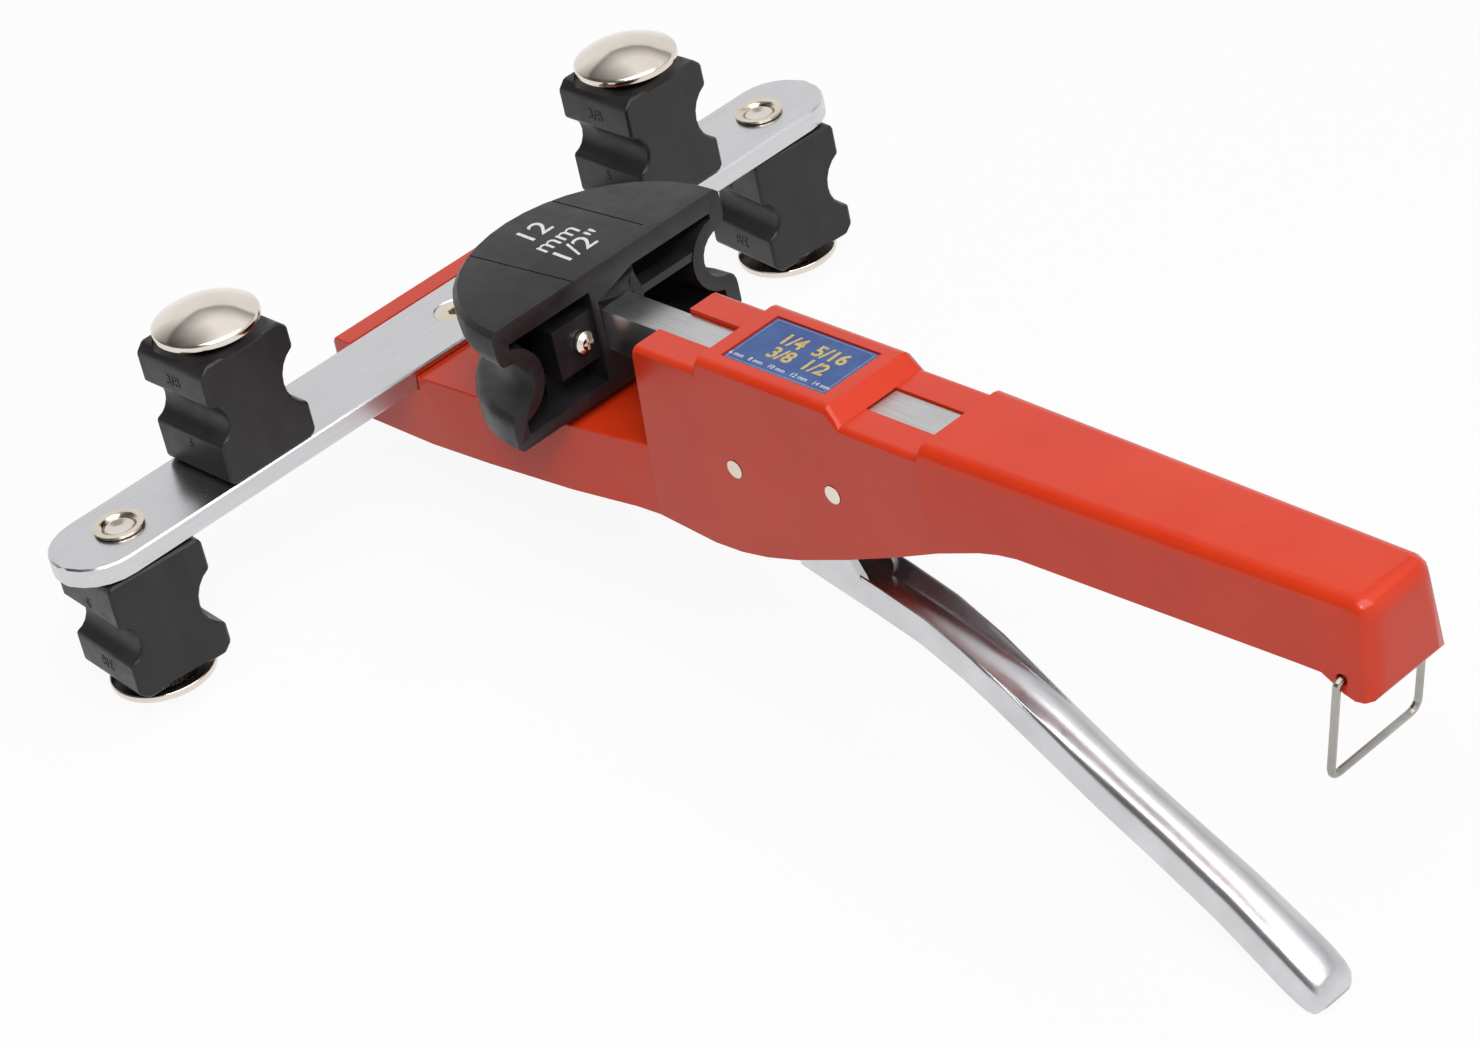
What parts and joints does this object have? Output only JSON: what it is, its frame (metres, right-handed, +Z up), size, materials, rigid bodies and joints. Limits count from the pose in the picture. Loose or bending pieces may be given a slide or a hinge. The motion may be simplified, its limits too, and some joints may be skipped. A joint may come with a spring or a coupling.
{
  "type": "manual pipe bender",
  "caption": "Hand ratchet tube bender: red cast body, steel crossbar with grooved side blocks, half-round former on a toothed bar, squeeze lever and hanging hook.",
  "frame": {"origin": "middle of the bounding box's footprint, on the bench that the tool stands on", "axes": "+X from the crossbar to the handle's end, +Y along the crossbar, +Z up from the bench"},
  "size_m": [0.3354, 0.27, 0.1408],
  "materials": {
    "red_enamelled_die_casting": "gloss enamel",
    "blue_badge_plate": "satin print",
    "satin_plated_steel": "satin plate",
    "nickel_plated_steel": "polished nickel",
    "black_nylon": "semi-matt",
    "grey_steel": "ground",
    "satin_chrome": "satin polish",
    "oiled_dark_steel": "oiled"
  },
  "bodies": {
    "body": {"body_casting": "red_enamelled_die_casting", "badge_plate": "blue_badge_plate", "crossbar": "satin_plated_steel", "crossbar_bolt": "nickel_plated_steel", "crossbar_nut": "oiled_dark_steel", "lever_pivot_pin": "satin_plated_steel", "holding_pawl_pin": "satin_plated_steel", "near_lever_spacer": "oiled_dark_steel", "far_lever_spacer": "oiled_dark_steel", "lever_return_spring": "oiled_dark_steel", "holding_pawl_spring": "oiled_dark_steel", "near_inner_dome_bolt": "nickel_plated_steel", "near_inner_sleeve_nut": "nickel_plated_steel", "far_inner_dome_bolt": "nickel_plated_steel", "far_inner_sleeve_nut": "nickel_plated_steel", "near_outer_dome_bolt": "nickel_plated_steel", "near_outer_sleeve_nut": "nickel_plated_steel", "far_outer_dome_bolt": "nickel_plated_steel", "far_outer_sleeve_nut": "nickel_plated_steel"},
    "bar": {"ratchet_bar": "grey_steel", "ratchet_bar_stop_pin": "oiled_dark_steel", "bend_former": "black_nylon", "former_screw": "nickel_plated_steel"},
    "lever": {"lever": "satin_chrome", "drive_pawl_pin": "oiled_dark_steel", "drive_pawl_spring": "oiled_dark_steel"},
    "drive_pawl": {"drive_pawl": "oiled_dark_steel"},
    "holding_pawl": {"holding_pawl": "oiled_dark_steel"},
    "hook": {"hanging_hook": "satin_plated_steel"},
    "near_inner_block": {"near_inner_block": "black_nylon"},
    "far_inner_block": {"far_inner_block": "black_nylon"},
    "near_outer_block": {"near_outer_block": "black_nylon"},
    "far_outer_block": {"far_outer_block": "black_nylon"}
  },
  "joints": [
    {"name": "bar_slide", "type": "slide", "parent": "body", "child": "bar", "axis": [-0.9787, 0, -0.2053], "range_m": [0, 0.075]},
    {"name": "lever_squeeze", "type": "hinge", "parent": "body", "child": "lever", "pos_m": [-0.02453, 0, 0.07458], "axis": [0, -1, 0], "range_deg": [0, 22], "stiffness_Nm_per_rad": 1.5, "springref_deg": -60.16},
    {"name": "drive_pawl_pivot", "type": "hinge", "parent": "lever", "child": "drive_pawl", "pos_m": [-0.02456, 0, 0.08203], "axis": [0, -1, 0], "range_deg": [0, 20], "stiffness_Nm_per_rad": 0.01, "springref_deg": -20.05},
    {"name": "holding_pawl_pivot", "type": "hinge", "parent": "body", "child": "holding_pawl", "pos_m": [0.00851, 0, 0.0856], "axis": [0, -1, 0], "range_deg": [0, 20], "stiffness_Nm_per_rad": 0.02, "springref_deg": -20.05},
    {"name": "hook_swing", "type": "hinge", "parent": "body", "child": "hook", "pos_m": [0.15907, 0, 0.11993], "axis": [0, -1, 0], "range_deg": [-60, 110]},
    {"name": "near_inner_block_turn", "type": "hinge", "parent": "body", "child": "near_inner_block", "pos_m": [-0.14598, -0.0739, 0.0486], "axis": [-0.2053, 0, 0.9787], "continuous": true},
    {"name": "far_inner_block_turn", "type": "hinge", "parent": "body", "child": "far_inner_block", "pos_m": [-0.14598, 0.0739, 0.0486], "axis": [-0.2053, 0, 0.9787], "continuous": true},
    {"name": "near_outer_block_turn", "type": "hinge", "parent": "body", "child": "near_outer_block", "pos_m": [-0.14598, -0.115, 0.0486], "axis": [-0.2053, 0, 0.9787], "continuous": true},
    {"name": "far_outer_block_turn", "type": "hinge", "parent": "body", "child": "far_outer_block", "pos_m": [-0.14598, 0.115, 0.0486], "axis": [-0.2053, 0, 0.9787], "continuous": true}
  ]
}
